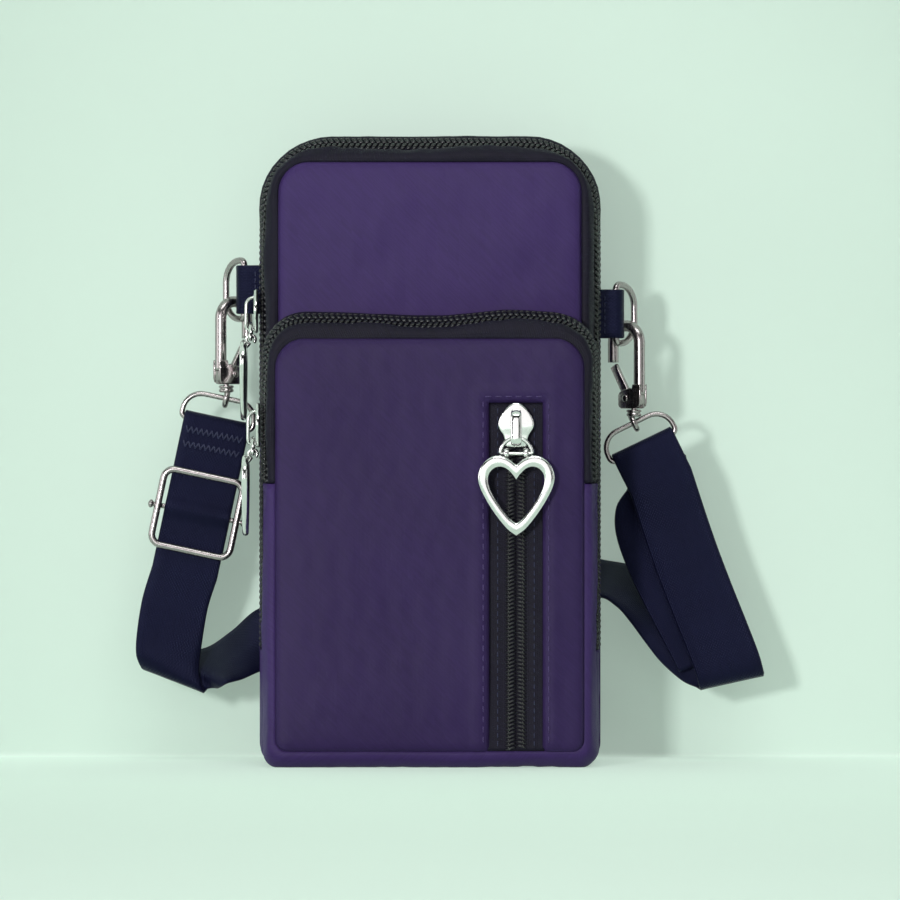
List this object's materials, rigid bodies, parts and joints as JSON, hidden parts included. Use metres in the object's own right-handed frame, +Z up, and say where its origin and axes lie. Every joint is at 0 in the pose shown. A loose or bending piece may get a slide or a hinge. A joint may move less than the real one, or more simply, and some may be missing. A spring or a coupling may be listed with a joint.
{
  "type": "phone pouch",
  "caption": "Small upright shoulder pouch for a phone, with two zipped compartments, a zipped front pocket, heart-shaped pulls, snap hooks at the sides and an adjustable webbing strap",
  "frame": {"origin": "middle of the main compartment's base, on the floor", "axes": "+Z up, -Y out of the front, +X to the right as seen from the front"},
  "size_m": [0.1882, 0.074, 0.188],
  "materials": {
    "nylon": "satin",
    "webbing": "satin",
    "tape": "matte",
    "coils": "satin",
    "nickel": "polished"
  },
  "bodies": {
    "pouch": {"back_panel": "nylon", "main_panel": "nylon", "main_gusset": "nylon", "main_tape_rear": "tape", "main_tape_front": "tape", "main_coil_rear": "coils", "main_coil_front": "coils", "front_gusset": "nylon", "front_tape_rear": "tape", "front_coil_rear": "coils", "front_panel_lower": "nylon", "pocket_tape_lower": "tape", "pocket_teeth_lower": "coils", "pocket_bag": "tape", "left_tab": "webbing", "left_swivel": "nickel", "left_ring": "nickel", "right_tab": "webbing", "right_swivel": "nickel", "right_ring": "nickel", "strap_left": "webbing", "strap_bundle": "webbing", "strap_right": "webbing"},
    "front_flap": {"front_panel_upper": "nylon", "front_tape_front": "tape", "front_coil_front": "coils", "pocket_tape_upper": "tape", "pocket_teeth_upper": "coils", "pocket_stop": "coils"},
    "pocket_slider": {"pocket_slider": "nickel"},
    "pocket_link": {"pocket_link": "nickel"},
    "pocket_heart": {"pocket_heart": "nickel"},
    "front_slider": {"front_slider": "nickel"},
    "front_link": {"front_link": "nickel"},
    "front_heart": {"front_heart": "nickel"},
    "main_slider": {"main_slider": "nickel"},
    "main_link": {"main_link": "nickel"},
    "main_heart": {"main_heart": "nickel"},
    "left_dee": {"left_dee": "nickel"},
    "left_hook": {"left_hook": "nickel", "left_rivet": "nickel"},
    "left_gate": {"left_gate": "nickel"},
    "right_dee": {"right_dee": "nickel"},
    "right_hook": {"right_hook": "nickel", "right_rivet": "nickel"},
    "right_gate": {"right_gate": "nickel"},
    "adjuster": {"adjuster_frame": "nickel", "adjuster_bar": "nickel"}
  },
  "joints": [
    {"name": "flap_fold", "type": "hinge", "parent": "pouch", "child": "front_flap", "pos_m": [0, -0.0361, 0.08415], "axis": [1, 0, 0], "range_deg": [0, 55]},
    {"name": "pocket_zip", "type": "slide", "parent": "front_flap", "child": "pocket_slider", "axis": [0, 0, 1], "range_m": [-0.068, 0]},
    {"name": "pocket_link_swing", "type": "hinge", "parent": "pocket_slider", "child": "pocket_link", "pos_m": [0.0255, -0.0387, 0.0976], "axis": [-1, 0, 0], "range_deg": [0, 50]},
    {"name": "pocket_heart_swing", "type": "hinge", "parent": "pocket_link", "child": "pocket_heart", "pos_m": [0.0255, -0.0387, 0.0929], "axis": [-1, 0, 0], "range_deg": [0, 60]},
    {"name": "front_zip", "type": "slide", "parent": "pouch", "child": "front_slider", "axis": [0, 0, 1], "range_m": [-0.01, 0.013]},
    {"name": "front_link_swing", "type": "hinge", "parent": "front_slider", "child": "front_link", "pos_m": [-0.0525, -0.0251, 0.0976], "axis": [0, 1, 0], "range_deg": [0, 50]},
    {"name": "front_heart_swing", "type": "hinge", "parent": "front_link", "child": "front_heart", "pos_m": [-0.0525, -0.0251, 0.0929], "axis": [0, 1, 0], "range_deg": [0, 60]},
    {"name": "main_zip", "type": "slide", "parent": "pouch", "child": "main_slider", "axis": [0, 0, 1], "range_m": [-0.006, 0.004]},
    {"name": "main_link_swing", "type": "hinge", "parent": "main_slider", "child": "main_link", "pos_m": [-0.0537, -0.0022, 0.1319], "axis": [0, 1, 0], "range_deg": [0, 4]},
    {"name": "main_heart_swing", "type": "hinge", "parent": "main_link", "child": "main_heart", "pos_m": [-0.0537, -0.0022, 0.1272], "axis": [0, 1, 0], "range_deg": [0, 5]},
    {"name": "left_dee_swing", "type": "hinge", "parent": "pouch", "child": "left_dee", "pos_m": [-0.056, 0.0069, 0.1423], "axis": [0, 0, 1], "range_deg": [-5, 5]},
    {"name": "left_hook_swivel", "type": "hinge", "parent": "pouch", "child": "left_hook", "pos_m": [-0.06147, 0.00883, 0.11381], "axis": [0, 0, 1], "range_deg": [-5, 5]},
    {"name": "left_gate_press", "type": "hinge", "parent": "left_hook", "child": "left_gate", "pos_m": [-0.05983, 0.01021, 0.11688], "axis": [0.6428, -0.766, 0], "range_deg": [0, 18], "stiffness_Nm_per_rad": 0.02},
    {"name": "right_dee_swing", "type": "hinge", "parent": "pouch", "child": "right_dee", "pos_m": [0.056, 0.0069, 0.135], "axis": [0, 0, 1], "range_deg": [-5, 5]},
    {"name": "right_hook_swivel", "type": "hinge", "parent": "pouch", "child": "right_hook", "pos_m": [0.06147, 0.00883, 0.10651], "axis": [0, 0, 1], "range_deg": [-5, 5]},
    {"name": "right_gate_press", "type": "hinge", "parent": "right_hook", "child": "right_gate", "pos_m": [0.05983, 0.01021, 0.10958], "axis": [0.6428, 0.766, 0], "range_deg": [0, 18], "stiffness_Nm_per_rad": 0.02},
    {"name": "adjuster_slide", "type": "slide", "parent": "pouch", "child": "adjuster", "axis": [0.2079, 0, 0.9781], "range_m": [-0.006, 0.006]}
  ],
  "couplings": [
    {"joint": "pocket_link_swing", "follows": "flap_fold", "ratio": 0.9}
  ]
}
